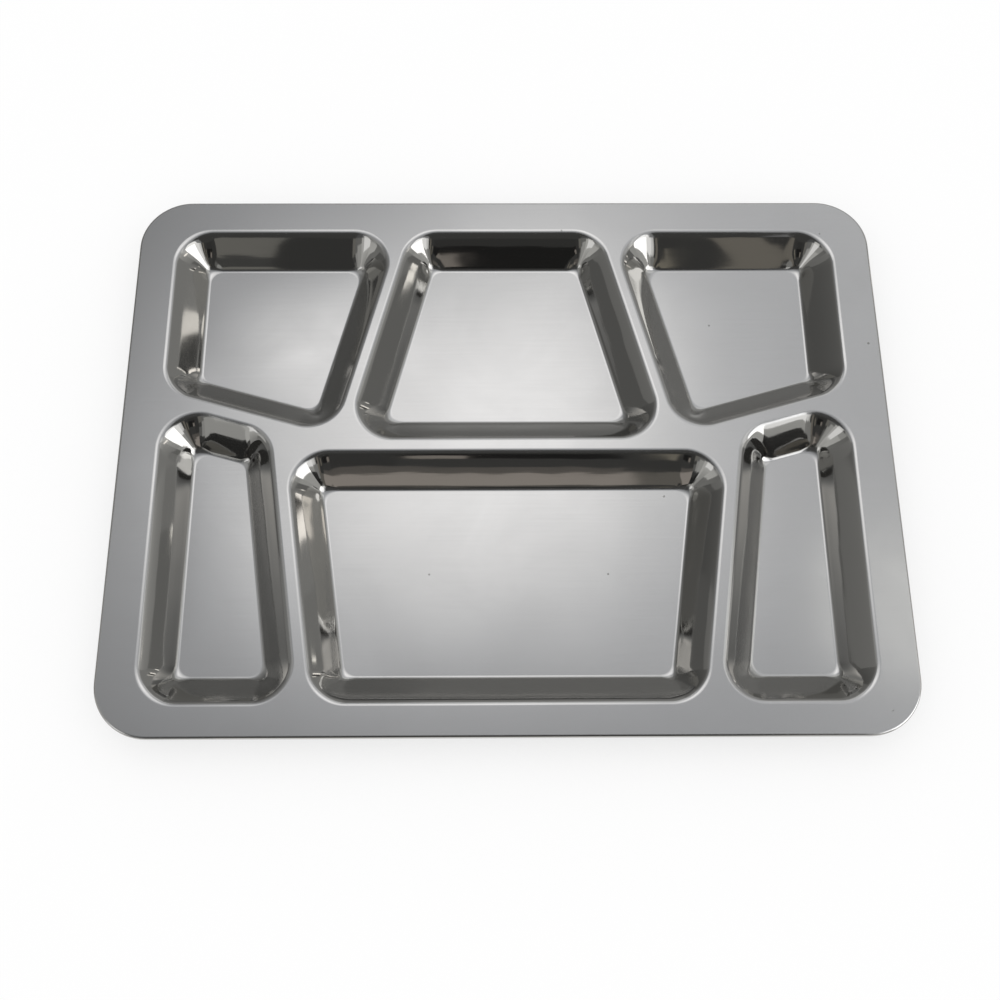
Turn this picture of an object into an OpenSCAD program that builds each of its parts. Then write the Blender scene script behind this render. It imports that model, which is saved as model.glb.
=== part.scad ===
// Divided serving plate with six compartments, pressed from one sheet of stainless steel.
// Origin: middle of the plate, on the surface that it stands on. +X right, +Y to the rear, +Z up.

/* [Plate] */
// Width over the rolled edge
plate_w = 394; // [340:1:430]
// Depth over the rolled edge, front to rear
plate_d = 292; // [276:1:330]
// Radius of the outer corners
plate_corner_r = 27; // [20:1:40]
// Thickness of the sheet
sheet_t = 0.6; // [0.5:0.1:1]

/* [Rolled edge] */
// Outside radius of the roll
roll_r = 2.5; // [2:0.1:4]
// Angle that the sheet is rolled through, from level
roll_turn = 235; // [90:5:265]

/* [Rims] */
// Rim beside the outer compartments, from the outer edge to where the sheet turns down
side_rim = 18.5; // [14:0.5:22]
// Rim behind the rear compartments
rear_rim = 17; // [12:0.5:24]
// Rim in front of the front compartments
front_rim = 15; // [12:0.5:24]

/* [Webs] */
// Flat of the slanted webs between the rear compartments
rear_web = 3; // [2:0.5:8]
// Flat of the slanted webs between the front compartments
front_web = 4; // [2:0.5:8]
// Flat of the web between the two centre compartments
centre_web = 4; // [2:0.5:8]
// Flat of the slanted webs between the rear and front side compartments
side_web = 4; // [2:0.5:8]

/* [Layout] */
// Width of the rear centre compartment at its rear
rear_centre_rear_w = 105; // [90:1:120]
// Width of the rear centre compartment at its front
rear_centre_front_w = 170; // [150:1:185]
// Width of the two outer front compartments, level with the rear of the front centre one
front_outer_rear_w = 60.5; // [52:0.5:70]
// Width of the two outer front compartments at their front
front_outer_front_w = 79.5; // [60:0.5:95]
// Middle of the centre web, measured to the rear from the middle of the plate
centre_web_y = 2.5; // [-4:0.5:6]
// Middle of the side webs where they meet the side rims, measured the same way
side_web_y = 30.5; // [27:0.5:36]
// Angle at which the side webs run forward from the side rims
side_web_angle = 16; // [8:1:18]

/* [Wells] */
// Depth of the compartments, from the deck to their floors
well_depth = 16; // [12:0.5:20]
// Slope of the walls, from level
wall_angle = 46; // [44:1:70]
// Radius over the top of the walls
draw_r = 3; // [1.5:0.5:4]
// Radius in the foot of the walls
foot_r = 2.5; // [1:0.5:4]
// Corner radius of the floors, on plan
floor_corner_r = 2.5; // [1:0.5:5]

/* [Hidden] */

// Colour of the pressed steel
steel = [0.74, 0.75, 0.76];
// Steps in each rounded corner of an outline
corner_steps = 8;
// Largest angle of one step in a bend of the sheet
bend_step = 12;

// Height of the deck's upper face
deck_z = sheet_t + well_depth;
// Level distance from the edge of a floor to the edge of the deck
wall_run = well_depth / tan(wall_angle) + (draw_r + foot_r) * tan(wall_angle / 2);
// Corner radius of a compartment where the deck turns down into it
mouth_r = floor_corner_r + wall_run;
// Where the deck ends and the roll begins, out from the centres of the plate's corners
roll_start = plate_corner_r - roll_r;

// Lines that bound the compartments
rear_y = plate_d / 2 - rear_rim;
front_y = front_rim - plate_d / 2;
side_x = plate_w / 2 - side_rim;
centre_rear_y = centre_web_y + centre_web / 2;
centre_front_y = centre_web_y - centre_web / 2;

// Both edges of the left slanted webs, from rear to front
rear_centre_side = [[-rear_centre_rear_w / 2, rear_y], [-rear_centre_front_w / 2, centre_rear_y]];
rear_left_side = moved_right(rear_centre_side, -rear_web);
front_left_side = [[front_outer_rear_w - side_x, centre_front_y], [front_outer_front_w - side_x, front_y]];
front_centre_side = moved_right(front_left_side, front_web);

// Edges of the left side web, from the side rim inwards
side_web_rise = [0, side_web / 2 / cos(side_web_angle)];
side_web_start = [-side_x, side_web_y];
side_web_run = [cos(side_web_angle), -sin(side_web_angle)];
side_web_rear = [side_web_start + side_web_rise, side_web_start + side_web_rise + side_web_run];
side_web_front = [side_web_start - side_web_rise, side_web_start - side_web_rise + side_web_run];

// Sharp corners of each compartment on the deck, anticlockwise from the rear right
rear_centre = both_sides(rear_centre_side);
front_centre = both_sides(front_centre_side);
rear_left = [
    rear_left_side[0], [-side_x, rear_y],
    side_web_rear[0], crossing(side_web_rear, rear_left_side)
];
front_left = [
    crossing(side_web_front, front_left_side), side_web_front[0],
    [-side_x, front_y], front_left_side[1]
];
rear_right = mirrored(rear_left);
front_right = mirrored(front_left);

// Centres of the plate's corners, anticlockwise from the rear right
plate_centres = inset(
    [
        [plate_w / 2, plate_d / 2], [-plate_w / 2, plate_d / 2],
        [-plate_w / 2, -plate_d / 2], [plate_w / 2, -plate_d / 2]
    ],
    plate_corner_r
);

// A point, and an outline, on the other side of the plate's middle line
function across(p) = [-p.x, p.y];
function mirrored(outline) = [for (i = [len(outline) - 1 : -1 : 0]) across(outline[i])];

// Outline of a compartment on the middle line, from its left side
function both_sides(side) = [across(side[0]), side[0], side[1], across(side[1])];

// An edge moved to the right by a distance measured square to it
function moved_right(edge, by) =
    let (run = edge[1] - edge[0])
    [for (p = edge) p + [by * norm(run) / abs(run.y), 0]];

// The point where the lines along two edges cross
function crossing(a, b) =
    let (u = a[1] - a[0], v = b[1] - b[0])
    a[0] + u * cross(b[0] - a[0], v) / cross(u, v);

// Corners of an anticlockwise outline, moved in square to its sides
function inset(outline, by) =
    let (n = len(outline))
    [for (i = [0 : n - 1])
        let (a = outline[(i + n - 1) % n], b = outline[i], c = outline[(i + 1) % n])
        let (from_a = inward(a, b) * by, to_c = inward(b, c) * by)
        crossing([a + from_a, b + from_a], [b + to_c, c + to_c])];
function inward(p, q) = [p.y - q.y, q.x - p.x] / norm(q - p);

// Outline with round corners, at a distance r out from the centres of its corners
function rounded(centres, r) =
    let (n = len(centres))
    [for (i = [0 : n - 1])
        let (a = centres[(i + n - 1) % n], b = centres[i], c = centres[(i + 1) % n])
        let (start = heading(a, b) - 90, turn = (heading(b, c) - heading(a, b) + 360) % 360)
        for (step = [0 : corner_steps])
            b + r * direction(start + turn * step / corner_steps)];
function heading(p, q) = atan2(q.y - p.y, q.x - p.x);
function direction(angle) = [cos(angle), sin(angle)];

// Points along a bend of the sheet
function bend(centre, r, from, to) =
    let (steps = ceil(abs(to - from) / bend_step))
    [for (i = [0 : steps]) centre + r * direction(from + (to - from) * i / steps)];

// Section of a wall: up its face from the floor to the deck, and back down its underside
function wall_section() =
    let (foot = [floor_corner_r, sheet_t + foot_r], brow = [mouth_r, deck_z - draw_r])
    concat(
        bend(foot, foot_r, -90, wall_angle - 90),
        bend(brow, draw_r, 90 + wall_angle, 90),
        bend(brow, draw_r - sheet_t, 90, 90 + wall_angle),
        bend(foot, foot_r + sheet_t, wall_angle - 90, -90)
    );

// Section of the roll: round its outside from the deck to the cut edge, and back inside
function roll_section() =
    let (middle = [roll_start, deck_z - roll_r], cut = 90 - roll_turn)
    concat(bend(middle, roll_r, 90, cut), bend(middle, roll_r - sheet_t, cut, 90));

// Sheet of one section all the way round an outline
module swept(section, centres) {
    levels = len(section);
    around = len(centres) * (corner_steps + 1);
    polyhedron(
        points = [for (p = section) for (q = rounded(centres, p.x)) [q.x, q.y, p.y]],
        faces = [for (i = [0 : levels - 1]) for (j = [0 : around - 1])
            let (up = (i + 1) % levels * around, along = (j + 1) % around)
            [i * around + j, i * around + along, up + along, up + j]]
    );
}

// Drawn well: a level floor and the wall round it
module well(outline) {
    centres = inset(outline, mouth_r);
    color(steel) union() {
        linear_extrude(sheet_t) polygon(rounded(centres, floor_corner_r));
        swept(wall_section(), centres);
    }
}

// Flat of the sheet: the rims and the webs between the compartments
module deck() {
    color(steel) translate([0, 0, deck_z - sheet_t]) linear_extrude(sheet_t) difference() {
        polygon(rounded(plate_centres, roll_start));
        for (outline = [rear_left, rear_centre, rear_right, front_left, front_centre, front_right])
            polygon(rounded(inset(outline, mouth_r), mouth_r));
    }
}

// Outer edge of the sheet, rolled under
module rolled_edge() {
    color(steel) swept(roll_section(), plate_centres);
}

module rear_left_compartment() { well(rear_left); }
module rear_centre_compartment() { well(rear_centre); }
module rear_right_compartment() { well(rear_right); }
module front_left_compartment() { well(front_left); }
module front_centre_compartment() { well(front_centre); }
module front_right_compartment() { well(front_right); }

deck();
rolled_edge();
rear_left_compartment();
rear_centre_compartment();
rear_right_compartment();
front_left_compartment();
front_centre_compartment();
front_right_compartment();
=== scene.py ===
"""Divided serving plate, pressed from one sheet of stainless steel, on a pale studio floor."""
from math import atan2, ceil, cos, exp, inf, pi, radians, sin, tan

import bpy
from mathutils import Matrix, Vector, noise
from mathutils.geometry import delaunay_2d_cdt


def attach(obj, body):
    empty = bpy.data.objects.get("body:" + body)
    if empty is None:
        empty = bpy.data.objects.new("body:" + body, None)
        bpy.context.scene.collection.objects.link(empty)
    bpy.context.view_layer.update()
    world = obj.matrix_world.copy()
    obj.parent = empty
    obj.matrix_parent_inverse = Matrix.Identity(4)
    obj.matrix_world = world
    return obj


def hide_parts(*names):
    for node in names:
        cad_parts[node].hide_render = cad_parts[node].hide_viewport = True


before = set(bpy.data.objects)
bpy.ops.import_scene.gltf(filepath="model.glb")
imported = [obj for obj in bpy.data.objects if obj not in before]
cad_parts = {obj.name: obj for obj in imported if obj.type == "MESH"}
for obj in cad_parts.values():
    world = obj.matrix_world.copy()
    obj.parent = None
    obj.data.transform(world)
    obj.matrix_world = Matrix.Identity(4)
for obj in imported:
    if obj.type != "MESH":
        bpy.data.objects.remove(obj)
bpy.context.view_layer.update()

# Sizes of the plate, in millimetres
PLATE_W, PLATE_D, PLATE_CORNER_R, SHEET_T = 394.0, 292.0, 27.0, 0.6
ROLL_R, ROLL_TURN = 2.5, radians(235)
SIDE_RIM, REAR_RIM, FRONT_RIM = 18.5, 17.0, 15.0
REAR_WEB, FRONT_WEB, CENTRE_WEB, SIDE_WEB = 3.0, 4.0, 4.0, 4.0
REAR_CENTRE_REAR_W, REAR_CENTRE_FRONT_W = 105.0, 170.0
FRONT_OUTER_REAR_W, FRONT_OUTER_FRONT_W = 60.5, 79.5
CENTRE_WEB_Y, SIDE_WEB_Y, SIDE_WEB_ANGLE = 2.5, 30.5, radians(16)
WELL_DEPTH, WALL_ANGLE = 16.0, radians(46)
DRAW_R, FOOT_R, FLOOR_CORNER_R = 3.0, 2.5, 2.5

# What the press adds to the plain sizes: floors that stand up slightly, walls that lean back
# towards their tops, softer bends, corners that are rounder than the walls alone would make them,
# and a crisp outer edge above the roll, which stays a hair inside the plain size
CROWN_SLOPE, CROWN_REACH, CROWN_EDGE, CROWN_EVENING = 0.012, 25.0, 2.0, 0.75
WALL_LEAN, WALL_LEAN_POWER, CORNER_EASE = radians(7), 3, 4.0
SOFT_FOOT_R, SOFT_BROW_R, CORNER_FOOT_R, CORNER_BROW_R = 2.8, 4.0, 7.0, 4.5
EDGE_R, EDGE_EASE, HAIR = 1.2, 0.2, 0.01

# How uneven the sheet leaves the press: how far the floors stand up and the deck sags, how far each
# face waves about that, how long its waves are, where it starts in the pattern of waves, and the
# step over which its slope is measured
FLOOR_RISE, FLOOR_WAVE, FLOOR_WAVE_LENGTH, FLOOR_START = 0.18, 0.12, 48.0, (3.1, -1.7, 0.4)
DECK_SAG, DECK_WAVE, DECK_WAVE_LENGTH, DECK_START = 0.10, 0.09, 62.0, (-5.3, 2.2, 7.9)
WALL_WAVE, WALL_WAVE_LENGTH, WALL_START = 0.07, 15.0, (1.3, 8.6)
SLOPE_STEP = 0.4

DECK_Z = SHEET_T + WELL_DEPTH
WALL_RUN = WELL_DEPTH / tan(WALL_ANGLE) + (DRAW_R + FOOT_R) * tan(WALL_ANGLE / 2)
MOUTH_R = FLOOR_CORNER_R + WALL_RUN
ROLL_START = PLATE_CORNER_R - ROLL_R

# Fineness of the mesh: round a corner, along a straight edge, across the flats, and in each bend
CORNER_STEP, RUN_STEP, FLAT_STEP, FLAT_MARGIN = radians(5.6), 4.0, 4.0, 1.6
BEND_STEPS, WALL_STEPS, ROLL_STEPS = 10, 12, 18

# How often the range of a wall's angle is halved, and how near two points of a flat count as one
FIT_ROUNDS, SAME_POINT = 40, 1e-7

# A millimetre in metres
MM = 0.001


# Outlines on plan

# Corners of a square, anticlockwise
SQUARE = ((1, 1), (-1, 1), (-1, -1), (1, -1))


def direction(angle):
    return Vector((cos(angle), sin(angle)))


def heading(p, q):
    return atan2(q.y - p.y, q.x - p.x)


def across(p):
    return Vector((-p.x, p.y))


def mirrored(outline):
    return [across(p) for p in reversed(outline)]


def both_sides(side):
    return [across(side[0]), side[0], side[1], across(side[1])]


def crossing(a, b):
    """The point where the lines along two edges cross."""
    u, v = a[1] - a[0], b[1] - b[0]
    return a[0] + u * ((b[0] - a[0]).cross(v) / u.cross(v))


def moved_right(edge, by):
    """An edge moved to the right by a distance measured square to it."""
    run = edge[1] - edge[0]
    return [p + Vector((by * run.length / abs(run.y), 0)) for p in edge]


def inset(outline, by):
    """Corners of an anticlockwise outline, moved in square to its sides."""
    corners = []
    for i, b in enumerate(outline):
        a, c = outline[i - 1], outline[(i + 1) % len(outline)]
        before = direction(heading(a, b) + pi / 2) * by
        after = direction(heading(b, c) + pi / 2) * by
        corners.append(crossing((a + before, b + before), (b + after, c + after)))
    return corners


def compartment_outlines():
    """Sharp corners of each compartment on the deck, anticlockwise from the rear right."""
    rear_y, front_y = PLATE_D / 2 - REAR_RIM, FRONT_RIM - PLATE_D / 2
    side_x = PLATE_W / 2 - SIDE_RIM
    rear_centre_side = [Vector((-REAR_CENTRE_REAR_W / 2, rear_y)),
                        Vector((-REAR_CENTRE_FRONT_W / 2, CENTRE_WEB_Y + CENTRE_WEB / 2))]
    rear_left_side = moved_right(rear_centre_side, -REAR_WEB)
    front_left_side = [Vector((FRONT_OUTER_REAR_W - side_x, CENTRE_WEB_Y - CENTRE_WEB / 2)),
                       Vector((FRONT_OUTER_FRONT_W - side_x, front_y))]
    front_centre_side = moved_right(front_left_side, FRONT_WEB)

    rise = Vector((0, SIDE_WEB / 2 / cos(SIDE_WEB_ANGLE)))
    start, run = Vector((-side_x, SIDE_WEB_Y)), direction(-SIDE_WEB_ANGLE)
    web_rear, web_front = [start + rise, start + rise + run], [start - rise, start - rise + run]

    rear_left = [rear_left_side[0], Vector((-side_x, rear_y)),
                 web_rear[0], crossing(web_rear, rear_left_side)]
    front_left = [crossing(web_front, front_left_side), web_front[0],
                  Vector((-side_x, front_y)), front_left_side[1]]
    return {
        "rear_left_compartment": rear_left,
        "rear_centre_compartment": both_sides(rear_centre_side),
        "rear_right_compartment": mirrored(rear_left),
        "front_left_compartment": front_left,
        "front_centre_compartment": both_sides(front_centre_side),
        "front_right_compartment": mirrored(front_left),
    }


def places_round(centres, inner=None, ease=0):
    """Places round an outline with round corners: where each stands in the inner and in the outer
    outline of corner centres, the way out from there, and how far it is into a corner. The inner
    outline's corners are rounder by the ease."""
    inner = inner or centres
    places = []
    for i, b in enumerate(centres):
        following = (i + 1) % len(centres)
        a, c, low_b, low_c = centres[i - 1], centres[following], inner[i], inner[following]
        start, turn = heading(a, b) - pi / 2, (heading(b, c) - heading(a, b)) % (2 * pi)
        steps, runs = ceil(turn / CORNER_STEP), ceil((c - b).length / RUN_STEP)
        for k in range(steps + 1):
            out = direction(start + turn * k / steps)
            places.append((low_b + out * ease, b, out, sin(pi * k / steps) ** 2))
        for k in range(1, runs):
            places.append((low_b.lerp(low_c, k / runs) + out * ease, b.lerp(c, k / runs), out, 0))
    return places


def ring(places, r):
    return [outer + out * r for _, outer, out, _ in places]


def distance_from(centres, p):
    """How far a point on plan lies outside the polygon of an outline's corner centres."""
    nearest, inside = inf, True
    for i, b in enumerate(centres):
        run = b - centres[i - 1]
        to_p = p - centres[i - 1]
        inside &= run.cross(to_p) >= 0
        along = min(max(to_p.dot(run) / run.length_squared, 0), 1)
        nearest = min(nearest, (to_p - run * along).length)
    return 0 if inside else nearest


# Sections through the sheet: distance out and height

def bend(centre, r, start, end, steps):
    turns = [start + (end - start) * k / steps for k in range(steps + 1)]
    return [centre + direction(a) * r for a in turns]


def wall_face(angle):
    """Steps along the face of a wall of length 1, which leans back from its angle at the foot."""
    ups = [(k + 0.5) / WALL_STEPS for k in range(WALL_STEPS)]
    turns = [angle - WALL_LEAN * up ** WALL_LEAN_POWER for up in ups]
    return [Vector((cos(a), sin(a))) / WALL_STEPS for a in turns]


def wall_section(foot_r, brow_r):
    """Up the face of a wall, from the edge of the floor to the edge of the deck, at the angle that
    makes it fit its run."""
    flattest, steepest = WALL_ANGLE, pi / 2
    for _ in range(FIT_ROUNDS):
        angle = (flattest + steepest) / 2
        top = angle - WALL_LEAN
        face = sum(wall_face(angle), Vector((0, 0)))
        length = (WELL_DEPTH - foot_r * (1 - cos(angle)) - brow_r * (1 - cos(top))) / face.y
        too_steep = foot_r * sin(angle) + length * face.x + brow_r * sin(top) < WALL_RUN
        flattest, steepest = (flattest, angle) if too_steep else (angle, steepest)
    foot = bend(Vector((FLOOR_CORNER_R, SHEET_T + foot_r)), foot_r,
                -pi / 2, angle - pi / 2, BEND_STEPS)
    brow = bend(Vector((MOUTH_R, DECK_Z - brow_r)), brow_r, pi / 2 + top, pi / 2, BEND_STEPS)
    climb = [foot[-1]]
    for step in wall_face(angle)[:-1]:
        climb.append(climb[-1] + step * length)
    foot[0], brow[-1] = Vector((FLOOR_CORNER_R, SHEET_T)), Vector((MOUTH_R, DECK_Z))
    return foot + climb[1:] + brow


def roll_section():
    """Round the outside of the roll, from the edge of the deck to the cut edge of the sheet."""
    bend_start = PLATE_CORNER_R - EDGE_R - HAIR
    flat = [Vector((ROLL_START, DECK_Z)), Vector((bend_start - EDGE_EASE, DECK_Z))]
    edge = bend(Vector((bend_start, DECK_Z - EDGE_R)), EDGE_R, pi / 2, 0, BEND_STEPS)
    roll = bend(Vector((ROLL_START, DECK_Z - ROLL_R)), ROLL_R - HAIR,
                0, pi / 2 - ROLL_TURN, ROLL_STEPS)
    return flat + edge + roll


# Regions of the sheet: the upper face, and the edges where a region ends

LEVEL = Vector((0, 0, 1))


class Region:
    """The upper face of a region: its points, the way each looks and how far it was drawn, its
    faces and their places on the sheet, the rings where it ends, and how far it stands up."""

    def __init__(self):
        self.points, self.looks, self.drawn = [], [], []
        self.faces, self.face_maps, self.ends = [], [], []
        self.crown = lambda p: 0

    def add_flat(self, corners, z):
        first = len(self.points)
        self.points += [Vector((p.x, p.y, z)) for p in corners]
        self.looks += [LEVEL] * len(corners)
        self.drawn += [0.0] * len(corners)
        return list(range(first, first + len(corners)))

    def add_face(self, corners, maps=None):
        self.faces.append(corners)
        self.face_maps.append(maps or [(self.points[c].x, self.points[c].y) for c in corners])


def fill_flat(region, loops, z, wanted):
    """Covers a flat between loops of points that are in the region already, with a mesh of even
    triangles. The first loop goes round the flat and the others go round holes in it."""
    known = [c for loop in loops for c in loop]
    plan = [region.points[c].xy for c in known]
    edges, first = [], 0
    for loop in loops:
        edges += [(first + k, first + (k + 1) % len(loop)) for k in range(len(loop))]
        first += len(loop)
    low = Vector((min(p.x for p in plan), min(p.y for p in plan)))
    high = Vector((max(p.x for p in plan), max(p.y for p in plan)))
    across_n, along_n = ceil((high.x - low.x) / FLAT_STEP), ceil((high.y - low.y) / FLAT_STEP)
    spots = [Vector((low.x + (high.x - low.x) * (i + 0.5 * (j % 2)) / across_n,
                     low.y + (high.y - low.y) * j / along_n))
             for j in range(along_n + 1) for i in range(across_n + 1)]
    inner = [p for p in spots if wanted(p)]
    known += region.add_flat(inner, z)
    inside_only = 1
    laid = delaunay_2d_cdt(plan + inner, edges, [], inside_only, SAME_POINT)
    _, _, triangles, sources, _, _ = laid
    came_from = [known[source[0]] for source in sources]
    loop_of = {c: k for k, loop in enumerate(loops) for c in loop}
    for triangle in triangles:
        corners = [came_from[c] for c in triangle]
        on = {loop_of.get(c) for c in corners}
        in_hole = len(loops) > 1 and len(on) == 1 and on != {None} and on != {0}
        if not in_hole:
            region.add_face(corners)


def run_through(before, here, after):
    """The way that a smooth line through three points runs at the middle one."""
    came, goes = here - before, after - here
    return came * (goes.length / came.length) + goes * (came.length / goes.length)


def sweep(region, places, section, corner_section, end_looks):
    """Lays the upper face of a section round an outline, and returns its first and last rings."""
    count, first = len(places), len(region.points)
    middle = section[len(section) // 2].x
    round_at, up_at = [0.0], [0.0]
    plan = ring(places, middle)
    for k in range(count):
        round_at.append(round_at[-1] + (plan[(k + 1) % count] - plan[k]).length)
    for a, b in zip(section, section[1:]):
        up_at.append(up_at[-1] + (b - a).length)
    nearest, reach = section[0].x, section[-1].x - section[0].x
    rings = []
    for side, corner in zip(section, corner_section):
        rings.append([])
        for inner, outer, out, turned in places:
            r, z = side.lerp(corner, turned)
            spot = inner.lerp(outer, (r - nearest) / reach) + out * r
            rings[-1].append(Vector((spot.x, spot.y, z)))
    for i, level in enumerate(rings):
        for k, spot in enumerate(level):
            look = end_looks.get(i - len(rings) if i else i)
            if look is None:
                below, above = rings[max(i - 1, 0)][k], rings[min(i + 1, len(rings) - 1)][k]
                climb = run_through(below, spot, above) if 0 < i < len(rings) - 1 else above - below
                run = run_through(level[k - 1], spot, level[(k + 1) % count])
                look = climb.cross(run).normalized()
            region.points.append(spot)
            region.looks.append(look)
            region.drawn.append(1 - look.z)
    for i in range(len(section) - 1):
        for k in range(count):
            after = (k + 1) % count
            lower, upper = first + i * count, first + (i + 1) * count
            region.add_face(
                [lower + k, upper + k, upper + after, lower + after],
                [(round_at[k], up_at[i]), (round_at[k], up_at[i + 1]),
                 (round_at[k + 1], up_at[i + 1]), (round_at[k + 1], up_at[i])])
    last = len(region.points) - count
    return list(range(first, first + count)), list(range(last, last + count))


def crown_of(centres):
    """How far a floor stands up at each place, in millimetres: most in its middle and not at all at
    its edges. Small floors are evened up to the large ones."""
    sides = [(b, direction(heading(centres[i - 1], b) - pi / 2)) for i, b in enumerate(centres)]

    def swell(p):
        share = 1
        for start, out in sides:
            inside = FLOOR_CORNER_R - (p.xy - start).dot(out)
            if inside > 0:
                share *= 1 - exp(-inside / CROWN_REACH)
            else:
                share *= (exp(inside / CROWN_EDGE) - 1) * CROWN_EDGE / CROWN_REACH
        return share
    middle = sum(centres, Vector((0, 0))) / len(centres)
    most = CROWN_SLOPE * CROWN_REACH / swell(middle) ** CROWN_EVENING
    return lambda p: most * swell(p)


def well_region(centres):
    region, inner = Region(), inset(centres, CORNER_EASE)
    region.crown = crown_of(centres)
    places = places_round(centres, inner, CORNER_EASE)
    foot, mouth = sweep(region, places, wall_section(SOFT_FOOT_R, SOFT_BROW_R),
                        wall_section(CORNER_FOOT_R, CORNER_BROW_R), {0: LEVEL, -1: LEVEL})
    clear = FLOOR_CORNER_R + CORNER_EASE - FLAT_MARGIN
    fill_flat(region, [foot], SHEET_T, lambda p: distance_from(inner, p) < clear)
    region.ends.append(mouth)
    return region


def deck_region(plate_centres, wells):
    region = Region()
    edge = region.add_flat(ring(places_round(plate_centres), ROLL_START), DECK_Z)
    mouths = [region.add_flat(ring(places_round(centres), MOUTH_R), DECK_Z) for centres in wells]

    def on_deck(p):
        return (distance_from(plate_centres, p) < ROLL_START - FLAT_MARGIN
                and all(distance_from(centres, p) > MOUTH_R + FLAT_MARGIN for centres in wells))
    fill_flat(region, [edge] + mouths, DECK_Z, on_deck)
    region.ends += [edge] + [mouth[::-1] for mouth in mouths]
    return region


def roll_region(plate_centres):
    region, section = Region(), roll_section()
    start, cut = sweep(region, places_round(plate_centres), section, section, {0: LEVEL})
    region.ends += [start[::-1], cut]
    return region


# The press leaves the sheet a little uneven: the deck sags between its edges, the floors stand up
# slightly, and the walls wave most at half height

# Slots for the finishes of a piece
FACE, UNDER = 0, 1


def wave(p, length, start):
    """A smooth wave between -1 and 1, from a start in the pattern of waves."""
    x, y, z = start
    return noise.noise(Vector((p.x / length + x, p.y / length + y, z)))


def unevenness(p, crown):
    """How far the sheet stands up or sags at a point, in millimetres."""
    up = min(max((p.z - SHEET_T) / WELL_DEPTH, 0), 1)
    floor = FLOOR_RISE + FLOOR_WAVE * wave(p, FLOOR_WAVE_LENGTH, FLOOR_START) + crown(p)
    deck = DECK_SAG + DECK_WAVE * wave(p, DECK_WAVE_LENGTH, DECK_START)
    wall = WALL_WAVE * wave(p, WALL_WAVE_LENGTH, (*WALL_START, p.z / WALL_WAVE_LENGTH))
    return floor * (1 - up) - deck * up + wall * 4 * up * (1 - up)


def settled(p, look, crown):
    """A point and its look once the sheet has left the press."""
    steps = [Vector((SLOPE_STEP, 0, 0)), Vector((0, SLOPE_STEP, 0)), Vector((0, 0, SLOPE_STEP))]
    slope = Vector([(unevenness(p + step, crown) - unevenness(p - step, crown)) / (2 * SLOPE_STEP)
                    for step in steps])
    tilted = (look - slope * (look.z / (1 + slope.z))).normalized()
    return p + Vector((0, 0, unevenness(p, crown))), tilted


def press(name, region, face_finish, under_finish):
    """A closed piece of the sheet: a region's upper face, its underside and its thickness at each
    end."""
    count = len(region.points)
    upper = list(zip(region.points, region.looks))
    above = [settled(p, look, region.crown) for p, look in upper]
    below = [settled(p - look * SHEET_T, look, region.crown) for p, look in upper]
    points = [p * MM for p, _ in above + below]
    faces, looks, maps, finishes = [], [], [], []
    for corners, spots in zip(region.faces, region.face_maps):
        faces += [corners, [c + count for c in reversed(corners)]]
        looks += [above[c][1] for c in corners] + [-below[c][1] for c in reversed(corners)]
        maps += spots + spots[::-1]
        finishes += [FACE, UNDER]
    for end in region.ends:
        for a, b in zip(end, end[1:] + end[:1]):
            corners = [a + count, b + count, b, a]
            look = (points[b] - points[a]).cross(points[a] - points[a + count]).normalized()
            faces.append(corners)
            looks += [look] * len(corners)
            maps += [region.points[c % count].xy for c in corners]
            finishes.append(UNDER)
    mesh = bpy.data.meshes.new(name)
    mesh.from_pydata(points, [], faces)
    mesh.materials.append(face_finish)
    mesh.materials.append(under_finish)
    mesh.polygons.foreach_set("material_index", finishes)
    mesh.polygons.foreach_set("use_smooth", [True] * len(faces))
    layer = mesh.uv_layers.new(name="along_sheet")
    layer.uv.foreach_set("vector", [v * MM for spot in maps for v in spot])
    drawn = mesh.attributes.new("drawn", "FLOAT", "POINT")
    drawn.data.foreach_set("value", region.drawn + region.drawn)
    mesh.normals_split_custom_set(looks)
    piece = bpy.data.objects.new(name, mesh)
    bpy.context.collection.objects.link(piece)
    return piece


# Finishes

# How far the sheet may be drawn and still be flat, and from where it is a wall and is polished.
# Between flat and wall the colour changes to the walls' darker colour, which is painted shade.
FLAT_UP_TO, WALL_FROM, POLISHED_FROM = 0.02, 0.25, 0.3

# How much of the grain goes into the wear, and the wear that leaves the roughness as it is, and how
# much of the grain and of the wiping marks goes into the shade
GRAIN_WEAR, MEAN_WEAR, GRAIN_SHADE, MARKS_SHADE = 0.5, 0.75, 0.4, 0.3

# Depths in metres, and the grey of a pit
GRAIN_DEPTH, PIT_DEPTH, PIT_GREY = 5e-8, 2e-5, (0.42, 0.42, 0.41)

# Sockets of a node that mixes two colours
MIX_SHARE, MIX_FIRST, MIX_SECOND, MIX_RESULT = 0, 6, 7, 2


def put(tree, kind, inputs=None, **settings):
    """Places a node in a tree, with its settings, and with inputs that are values or outputs of
    other nodes."""
    node = tree.nodes.new("ShaderNode" + kind)
    for key, value in settings.items():
        setattr(node, key, value)
    for key, value in (inputs or {}).items():
        if isinstance(value, bpy.types.NodeSocket):
            tree.links.new(value, node.inputs[key])
        else:
            node.inputs[key].default_value = value
    return node


def calc(tree, operation, *values):
    return put(tree, "Math", dict(enumerate(values)), operation=operation).outputs["Value"]


def scaled(tree, vector, by):
    return put(tree, "VectorMath", {0: vector, "Scale": by}, operation="SCALE").outputs[0]


def dot(tree, vector, other):
    node = put(tree, "VectorMath", {0: vector, 1: other}, operation="DOT_PRODUCT")
    return node.outputs["Value"]


def mapped(tree, value, limits):
    """A value taken from one range to another. Both are 0 to 1 unless a limit says otherwise."""
    return put(tree, "MapRange", {"Value": value, **limits}).outputs["Result"]


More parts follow.
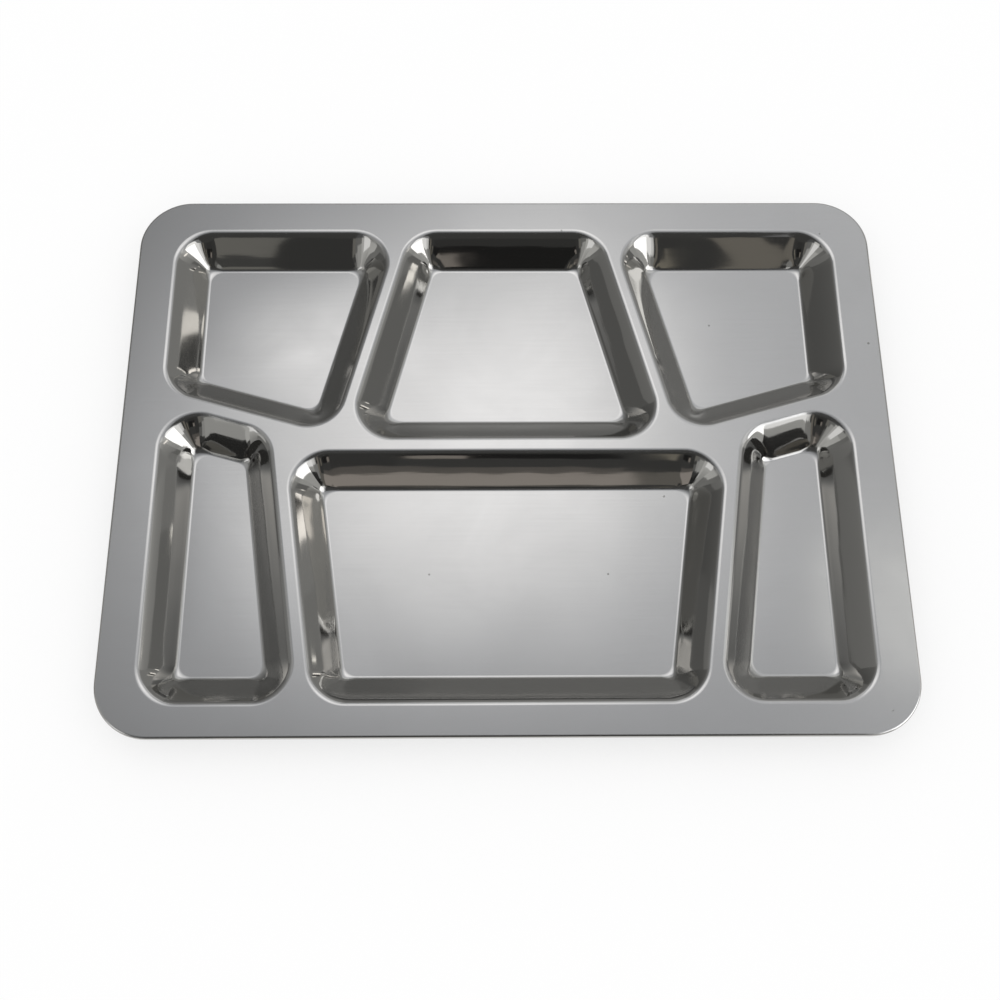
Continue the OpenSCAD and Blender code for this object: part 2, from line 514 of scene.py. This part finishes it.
def blend(tree, share, first, second):
    """A colour between two others."""
    inputs = {MIX_SHARE: share, MIX_FIRST: first, MIX_SECOND: second}
    return put(tree, "Mix", inputs, data_type="RGBA").outputs[MIX_RESULT]


def opaque(colour):
    return (*colour, 1)


def place_on_plate(tree):
    return put(tree, "TexCoord").outputs["Object"]


def how_drawn(tree):
    return put(tree, "Attribute", attribute_name="drawn").outputs["Fac"]


def long_lines(tree, place, given, detail, roughness):
    """Noise pulled out into lines, with a length along them and a spacing across."""
    place = put(tree, "SeparateXYZ", {0: place}).outputs
    steps = {axis: calc(tree, "DIVIDE", place[axis], given[step])
             for axis, step in (("X", "Length"), ("Y", "Spacing"), ("Z", "Spacing"))}
    along = put(tree, "CombineXYZ", steps).outputs[0]
    lines = {"Vector": along, "Scale": 1, "Detail": detail, "Roughness": roughness}
    return put(tree, "TexNoise", lines).outputs["Fac"]


def new_effect(name, inputs, output):
    """An empty node group, with the values that go in and the one that comes out."""
    tree = bpy.data.node_groups.new(name, "ShaderNodeTree")
    for key, value in inputs.items():
        socket = tree.interface.new_socket(key, in_out="INPUT", socket_type="NodeSocketFloat")
        socket.default_value = value
    tree.interface.new_socket(output, in_out="OUTPUT", socket_type="NodeSocketFloat")
    given, result = tree.nodes.new("NodeGroupInput"), tree.nodes.new("NodeGroupOutput")
    return tree, given.outputs, result.inputs[output]


def rolling_grain():
    """Fine straight lines that the mill leaves along the sheet."""
    tree, given, grain = new_effect("rolling_grain", {"Length": 0.05, "Spacing": 0.0005}, "Grain")
    tree.links.new(long_lines(tree, place_on_plate(tree), given, detail=3, roughness=0.6), grain)
    return tree


def wiping_marks():
    """Soft cloudy patches where the sheet has been handled and wiped."""
    tree, given, marks = new_effect("wiping_marks", {"Size": 0.045, "Softness": 0.3}, "Marks")
    spread = scaled(tree, place_on_plate(tree), calc(tree, "DIVIDE", 1, given["Size"]))
    cloud = put(tree, "TexNoise", {"Vector": spread, "Scale": 1, "Detail": 5, "Roughness": 0.55,
                                   "Distortion": 0.6})
    patch = put(tree, "MapRange", {"Value": cloud.outputs["Fac"],
                                   "From Min": calc(tree, "SUBTRACT", 0.5, given["Softness"]),
                                   "From Max": calc(tree, "ADD", 0.5, given["Softness"])},
                interpolation_type="SMOOTHSTEP")
    tree.links.new(patch.outputs["Result"], marks)
    return tree


def draw_ripple():
    """Faint ripples that run along the walls, where the sheet slid over the die."""
    tree, given, ripple = new_effect("draw_ripple", {"Length": 0.05, "Spacing": 0.005}, "Ripple")
    place = put(tree, "UVMap", uv_map="along_sheet").outputs["UV"]
    lines = long_lines(tree, place, given, detail=2, roughness=0.5)
    walls = mapped(tree, how_drawn(tree), {"From Max": WALL_FROM})
    tree.links.new(calc(tree, "MULTIPLY", lines, walls), ripple)
    return tree


def fine_pits():
    """Tiny specks, thinly scattered."""
    inputs = {"Apart": 0.01, "Width": 0.0007, "Share": 0.15}
    tree, given, pit = new_effect("fine_pits", inputs, "Pit")
    spread = scaled(tree, place_on_plate(tree), calc(tree, "DIVIDE", 1, given["Apart"]))
    cells = put(tree, "TexVoronoi", {"Vector": spread, "Scale": 1}).outputs
    chance = put(tree, "SeparateColor", {0: cells["Color"]}).outputs
    widest = calc(tree, "DIVIDE", given["Width"], given["Apart"])
    near = calc(tree, "LESS_THAN", cells["Distance"],
                calc(tree, "MULTIPLY", widest, chance["Green"]))
    pitted = calc(tree, "LESS_THAN", chance["Red"], given["Share"])
    tree.links.new(calc(tree, "MULTIPLY", near, pitted), pit)
    return tree


def steel_finish(name, effects, light, dark, wall, flat_roughness, wall_roughness, uneven,
                 ripple_depth):
    """Steel with its effects, in a light and a dark shade on the flats and in one on the walls. The
    walls' darker colour is painted shade, standing in for the dark surroundings that they reflect.
    """
    steel = bpy.data.materials.new(name)
    steel.use_nodes = True
    tree, shader = steel.node_tree, steel.node_tree.nodes["Principled BSDF"]
    groups = [put(tree, "Group", node_tree=effect) for effect in effects]
    grain, marks, ripple, pit = [group.outputs[0] for group in groups]

    drawn = how_drawn(tree)
    polish = mapped(tree, drawn, {"From Max": POLISHED_FROM, "To Min": flat_roughness,
                                  "To Max": wall_roughness})
    wear = calc(tree, "MULTIPLY_ADD", grain, GRAIN_WEAR, calc(tree, "SUBTRACT", marks, MEAN_WEAR))
    rough = calc(tree, "MULTIPLY_ADD", wear, uneven, polish)

    grain_shade = calc(tree, "MULTIPLY", grain, GRAIN_SHADE)
    shade = calc(tree, "MULTIPLY_ADD", marks, MARKS_SHADE, grain_shade)
    flat = blend(tree, shade, opaque(light), opaque(dark))
    # Painted shade: the walls, found by their slope, take a darker colour than the flats
    painted_wall_shade_share = mapped(tree, drawn, {"From Min": FLAT_UP_TO, "From Max": WALL_FROM})
    colour_with_painted_wall_shade = blend(tree, painted_wall_shade_share, flat, opaque(wall))
    colour = blend(tree, pit, colour_with_painted_wall_shade, opaque(PIT_GREY))

    grain_height = calc(tree, "MULTIPLY", grain, GRAIN_DEPTH)
    height = calc(tree, "MULTIPLY_ADD", ripple, ripple_depth, grain_height)
    dented = calc(tree, "MULTIPLY_ADD", pit, -PIT_DEPTH, height)
    bump = put(tree, "Bump", {"Height": dented, "Distance": 1})

    shader.inputs["Metallic"].default_value = 1
    tree.links.new(colour, shader.inputs["Base Color"])
    tree.links.new(rough, shader.inputs["Roughness"])
    tree.links.new(bump.outputs["Normal"], shader.inputs["Normal"])
    return steel


def build_plate():
    effects = [rolling_grain(), wiping_marks(), draw_ripple(), fine_pits()]
    face = steel_finish(
        "bright_pressed_steel", effects,
        # The wall colour is darker than the flats: painted shade, for the dark surroundings that
        # the walls reflect
        light=(0.714, 0.713, 0.715), dark=(0.604, 0.603, 0.605), wall=(0.493, 0.487, 0.472),
        flat_roughness=0.19, wall_roughness=0.055, uneven=0.04, ripple_depth=2e-5)
    under = steel_finish(
        "plain_underside", effects,
        # The wall colour is darker than the flats here too: painted shade
        light=(0.64, 0.645, 0.645), dark=(0.50, 0.505, 0.505), wall=(0.48, 0.48, 0.47),
        flat_roughness=0.30, wall_roughness=0.24, uneven=0.10, ripple_depth=6e-5)
    plate_outline = [Vector((x * PLATE_W / 2, y * PLATE_D / 2)) for x, y in SQUARE]
    plate_centres = inset(plate_outline, PLATE_CORNER_R)
    wells = {node: inset(outline, MOUTH_R) for node, outline in compartment_outlines().items()}
    regions = {node: well_region(centres) for node, centres in wells.items()}
    regions["deck"] = deck_region(plate_centres, list(wells.values()))
    regions["rolled_edge"] = roll_region(plate_centres)
    for node, region in regions.items():
        piece = press("pressed_" + node, region, face, under)
        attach(piece, "root")
        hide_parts(node)


# The studio: cards and cloths that the steel reflects, seen by nothing else. Sizes are in metres
# and angles in degrees

CARD_R, NEAR_CARD_R, CARD_STEP = 1.3, 1.28, 3
CEILING_Z, CEILING_LAP, CEILING_SIDES, PANEL_DROP = 1.0, 0.02, 48, 0.01
FLOOR_REACH, FLOOR_DROP, PAPER_WHITE = 3, 0.0002, 0.6

# Greys up to this level are faintly warm, with this share of blue
WARM_UP_TO, WARM_BLUE = 0.9, 0.975

# The ceiling's glow in its middle, its gain per metre to the right and to the rear, and its least,
# and the glow up to which it is cool and from which it is warm
CEILING_GLOW, CEILING_GAIN, CEILING_LEAST = 0.30, (0.30, 0.17, 0), 0.12
COOL_UP_TO, COOL_WHITE = 0.45, (0.967, 0.982, 1)
WARM_FROM, WARM_WHITE = 0.95, (1.005, 0.995, 0.985)

# Lamps behind the ceiling: strength, place across and along, and how far each spreads
OVERHEAD_LAMPS = (
    (0.65, -0.135, 0.335, 0.265, 0.18),
    (0.72, -0.255, 0.58, 0.085, 0.058),
    (0.55, 0.06, 0.56, 0.133, 0.185),
    (0.09, -0.46, 0.02, 0.14, 0.08),
)

# Panels hung just under the ceiling: tone, and corners on plan. A tone, here and in the tables of
# cards, is a level of grey or a colour
PANELS = {
    "rear_softbox": (0.75, (-0.5, 1.02), (0.6, 1.02), (0.6, 1.3), (-0.5, 1.3)),
    "right_softbox": (0.81, (0.47, 0.085), (1.3, 0.085), (1.3, 0.23), (0.46, 0.29)),
    "right_scrim": (0.44, (0.62, 0.28), (1.27, 0.24), (0.9, 0.94), (0.62, 1.02)),
    "left_scrim": (0.36, (-1.26, -0.28), (-0.56, -0.28), (-0.56, 0.35), (-1.25, 0.35)),
    "rear_left_scrim": (0.23, (-1.25, 0.35), (-0.56, 0.35), (-0.56, 1.15), (-0.9, 0.94)),
    "window_top": (1.6, (0.56, -0.12), (0.62, -0.5), (0.82, -1.0), (1.14, -0.63), (1.29, -0.16)),
    "lamp_top": (0.9, (-0.72, -0.31), (-1.18, -0.5), (-1.09, -0.68), (-0.97, -0.84),
                 (-0.72, -0.63)),
    "front_flag": (0.07, (-0.5, -1.3), (0.5, -1.3), (0.5, -0.55), (0.35, -0.2), (-0.35, -0.2),
                   (-0.5, -0.4)),
}

# Cards round the plate: from and to which bearing clockwise from the rear, from and to which angle
# up, in degrees, and the tone, or the tones at foot and top
CARDS = {
    "rear_skirt": (-6, 30, 0, 32, 0.27),
    "rear_glow": (-6, 30, 32, 38, 0.6),
    "rear_skirt_right": (30, 66, 0, 38, 0.31),
    "right_drape_edge": (66, 71, 0, 17, 0.27),
    "right_drape": (71, 84, 0, 17, 0.20),
    "right_drape_top": (66, 84, 17, 38, 0.32, 0.60),
    "right_curtain": (84, 97, 0, 17, 0.50),
    "right_curtain_top": (84, 97, 17, 38, 0.42, 0.75),
    "window_sill": (97, 132, 0, 14.5, 0.55),
    "window": (97, 132, 14.5, 38, 2.4),
    "window_edge": (132, 145, 21, 38, 1.3),
    "window_edge_sill": (132, 145, 15, 21, 0.50),
    "front_wall_right_edge": (145, 150, 15, 23, 0.32),
    "front_wall_right_edge_top": (145, 150, 23, 38, 1.0),
    "front_wall_right": (150, 157.5, 11, 24, 0.30),
    "front_wall_right_top": (150, 153.5, 24, 38, 0.78),
    "front_post_right": (153.5, 157.5, 24, 38, 0.05),
    "front_board_right": (157.5, 162, 15.5, 38, (0.22, 0.205, 0.18)),
    "front_dark_right": (162, 171, 15.5, 38, 0.06),
    "front_table_right": (157.5, 170, 0, 15.5, (0.17, 0.16, 0.145)),
    "front_table": (170, 197, 0, 15.5, (0.39, 0.355, 0.325)),
    "front_table_edge": (171, 197, 15.5, 18, (0.14, 0.13, 0.12)),
    "front_dark": (171, 187, 18, 24, 0.065),
    "front_black": (171, 187, 24, 31, 0.02),
    "front_dark_top": (171, 187, 31, 38, 0.05),
    "front_dark_corner": (187, 197, 18, 38, 0.055),
    "front_dark_left": (197, 204, 12, 15.5, 0.06),
    "front_board_left": (197, 204, 15.5, 22, 0.17),
    "front_board_left_middle": (197, 204, 22, 26, 0.08),
    "front_board_left_top": (197, 204, 26, 38, (0.21, 0.205, 0.19)),
    "front_wall_left_foot": (204, 210, 12, 15, 0.06),
    "front_wall_left_corner": (204, 210, 15, 26, 0.40),
    "front_wall_left_corner_top": (204, 210, 26, 38, 0.20),
    "front_wall_left": (210, 222, 14, 30, 0.47),
    "front_wall_left_top": (210, 222, 30, 38, 0.22),
    "front_wall_left_edge": (222, 229, 11, 38, 0.64),
    "table_right": (132, 157.5, 0, 11, 0.03),
    "table_right_edge": (132, 150, 11, 15, 0.04),
    "table_left": (197, 210, 0, 12, 0.03),
    "table_left_front": (210, 222, 0, 14, 0.03),
    "table_left_edge": (222, 229, 0, 11, 0.10),
    "left_lamp": (229, 247, 20, 38, 1.15),
    "left_lamp_skirt": (229, 247, 0, 20, 0.25, 0.65),
    "left_wall": (247, 265, 0, 11, 0.25),
    "left_wall_middle": (247, 265, 11, 27, 0.65, 0.60),
    "left_wall_top": (247, 265, 27, 38, 0.44),
    "left_wall_rear": (265, 277, 0, 38, 0.27, 0.20),
    "left_drape": (277, 295, 0, 12, 0.14),
    "left_drape_top": (277, 295, 12, 38, 0.22, 0.28),
    "left_drape_rear": (295, 335, 0, 38, 0.10, 0.21),
    "rear_skirt_left": (-25, -6, 0, 38, 0.18, 0.24),
}

# Cards that hang just in front of those
NEAR_CARDS = {
    "front_strip_right": (165.8, 167.8, 22, 30, (0.26, 0.24, 0.20)),
    "front_strip": (182, 186.5, 24, 28, (0.29, 0.265, 0.24)),
    "dark_post": (56.6, 60.2, 0, 13, 0.08),
    "cream_gap": (60.2, 62.4, 2, 12, (1.7, 1.62, 1.52)),
    "cream_gap_rear": (55, 56.6, 6, 13.5, (1.2, 1.16, 1.09)),
    "cream_gap_right": (79, 93.5, 28.3, 30.3, (1.9, 1.81, 1.7)),
    "cream_gap_front": (70.6, 72, 7, 11, (1.6, 1.55, 1.45)),
}


def build_camera():
    """The camera that the photo was taken with, as fitted to the edges of the plate."""
    pitch, yaw, roll = radians(69.94), radians(1.63), radians(1.35)
    target, away = Vector((-3.64, -27.77, DECK_Z)), 621.53
    ahead = Vector((sin(yaw) * cos(pitch), cos(yaw) * cos(pitch), -sin(pitch)))
    right = Vector((cos(yaw), -sin(yaw), 0))
    up = right.cross(ahead)
    right, up = right * cos(roll) + up * sin(roll), up * cos(roll) - right * sin(roll)
    lens = bpy.data.cameras.new("photo_camera")
    lens.sensor_width, lens.lens = 36, 44.72
    camera = bpy.data.objects.new("photo_camera", lens)
    pose = Matrix((right, up, -ahead)).transposed().to_4x4()
    pose.translation = (target - ahead * away) * MM
    camera.matrix_world = pose
    bpy.context.collection.objects.link(camera)
    bpy.context.scene.camera = camera


def stage_mesh(name, points, faces, finish):
    mesh = bpy.data.meshes.new(name)
    mesh.from_pydata(points, [], faces)
    mesh.materials.append(finish)
    thing = bpy.data.objects.new(name, mesh)
    bpy.context.collection.objects.link(thing)
    return thing


def build_floor():
    """White paper. What the camera and the steel see of it is mostly its own white, so that the
    shadow is faint."""
    paper = bpy.data.materials.new("white_paper")
    paper.use_nodes = True
    tree = paper.node_tree
    shader = tree.nodes["Principled BSDF"]
    shader.inputs["Base Color"].default_value = (0.99, 0.99, 0.99, 1)
    shader.inputs["Roughness"].default_value = 0.9
    shader.inputs["Specular IOR Level"].default_value = 0
    ray = put(tree, "LightPath").outputs
    seen = calc(tree, "MAXIMUM", ray["Is Camera Ray"], ray["Is Glossy Ray"])
    own = put(tree, "Emission", {"Color": (1, 1, 1, 1)}).outputs["Emission"]
    sheet = put(tree, "MixShader", {0: calc(tree, "MULTIPLY", seen, PAPER_WHITE),
                                    1: shader.outputs["BSDF"], 2: own})
    tree.links.new(sheet.outputs["Shader"], tree.nodes["Material Output"].inputs["Surface"])
    paper.cycles.emission_sampling = "NONE"
    corners = [(x * FLOOR_REACH, y * FLOOR_REACH, -FLOOR_DROP) for x, y in SQUARE]
    stage_mesh("studio_floor", corners, [(0, 1, 2, 3)], paper)


def colour_of(tone):
    """The colour of a tone. Greys are faintly warm, like the studio's cloths, unless they are
    bright."""
    if isinstance(tone, tuple):
        return tone
    return (tone, tone, tone if tone > WARM_UP_TO else WARM_BLUE * tone)


def glowing(name, tone, top=None):
    """A cloth that glows, evenly or from one tone at its foot to another at its top."""
    cloth = bpy.data.materials.new(name)
    cloth.use_nodes = True
    tree = cloth.node_tree
    tree.nodes.remove(tree.nodes["Principled BSDF"])
    colour = opaque(colour_of(tone))
    glow = put(tree, "Emission", {"Color": colour})
    if top:
        place = put(tree, "TexCoord").outputs["Generated"]
        up = put(tree, "SeparateXYZ", {0: place}).outputs["Z"]
        shade = blend(tree, up, colour, opaque(colour_of(top)))
        tree.links.new(shade, glow.inputs["Color"])
    tree.links.new(glow.outputs["Emission"], tree.nodes["Material Output"].inputs["Surface"])
    cloth.cycles.emission_sampling = "NONE"
    return cloth, glow


def hang(name, points, faces, cloth):
    """Hangs up a cloth that only the steel sees."""
    thing = stage_mesh(name, points, faces, cloth)
    thing.visible_camera = thing.visible_diffuse = thing.visible_shadow = False


def bell(tree, spot):
    """Falls away from 1 in the middle, as the light of a lamp behind cloth does."""
    return calc(tree, "EXPONENT", calc(tree, "MULTIPLY", dot(tree, spot, spot), -0.5))


def build_ceiling():
    cloth, glow = glowing("overhead_cloth", (1, 1, 1))
    tree = cloth.node_tree
    place = put(tree, "TexCoord").outputs["Object"]
    level = calc(tree, "ADD", dot(tree, place, CEILING_GAIN), CEILING_GLOW)
    level = calc(tree, "MAXIMUM", level, CEILING_LEAST)
    for strength, x, y, wide, deep in OVERHEAD_LAMPS:
        lamp_place = {"Vector": place, "Location": (x, y, CEILING_Z), "Scale": (wide, deep, 1)}
        spot = put(tree, "Mapping", lamp_place, vector_type="TEXTURE").outputs["Vector"]
        level = calc(tree, "MULTIPLY_ADD", bell(tree, spot), strength, level)
    bright = mapped(tree, level, {"From Min": COOL_UP_TO, "From Max": WARM_FROM})
    white = blend(tree, bright, opaque(COOL_WHITE), opaque(WARM_WHITE))
    tree.links.new(level, glow.inputs["Strength"])
    tree.links.new(white, glow.inputs["Color"])
    turns = [2 * pi * k / CEILING_SIDES for k in range(CEILING_SIDES)]
    r = CARD_R + CEILING_LAP
    points = [(r * cos(turn), r * sin(turn), CEILING_Z) for turn in turns]
    hang("overhead_diffuser", points, [tuple(range(CEILING_SIDES))], cloth)


def build_panel(name, tone, *corners):
    """A flat panel, hung just under the ceiling."""
    points = [(x, y, CEILING_Z - PANEL_DROP) for x, y in corners]
    hang(name, points, [tuple(range(len(points)))], glowing(name + "_cloth", tone)[0])


def build_card(name, away, left, right, low, high, tone, top=None):
    """A curved card that stands round the plate, some way from its middle."""
    steps = ceil((right - left) / CARD_STEP)
    points = []
    for k in range(steps + 1):
        bearing = radians(left + (right - left) * k / steps)
        for angle in (low, high):
            points.append((away * sin(bearing), away * cos(bearing), away * tan(radians(angle))))
    faces = [(2 * k, 2 * k + 1, 2 * k + 3, 2 * k + 2) for k in range(steps)]
    hang(name, points, faces, glowing(name + "_cloth", tone, top)[0])


def build_light():
    """White light all round for the paper, and what the steel reflects."""
    world = bpy.data.worlds.new("studio")
    bpy.context.scene.world = world
    world.use_nodes = True
    sky = world.node_tree.nodes["Background"]
    sky.inputs["Color"].default_value = (1, 1, 1, 1)
    sky.inputs["Strength"].default_value = 1
    build_ceiling()
    for name, panel in PANELS.items():
        build_panel(name, *panel)
    for name, card in CARDS.items():
        build_card(name, CARD_R, *card)
    for name, card in NEAR_CARDS.items():
        build_card(name, NEAR_CARD_R, *card)


build_plate()
build_camera()
build_floor()
build_light()
bpy.context.scene.view_settings.view_transform = "Standard"
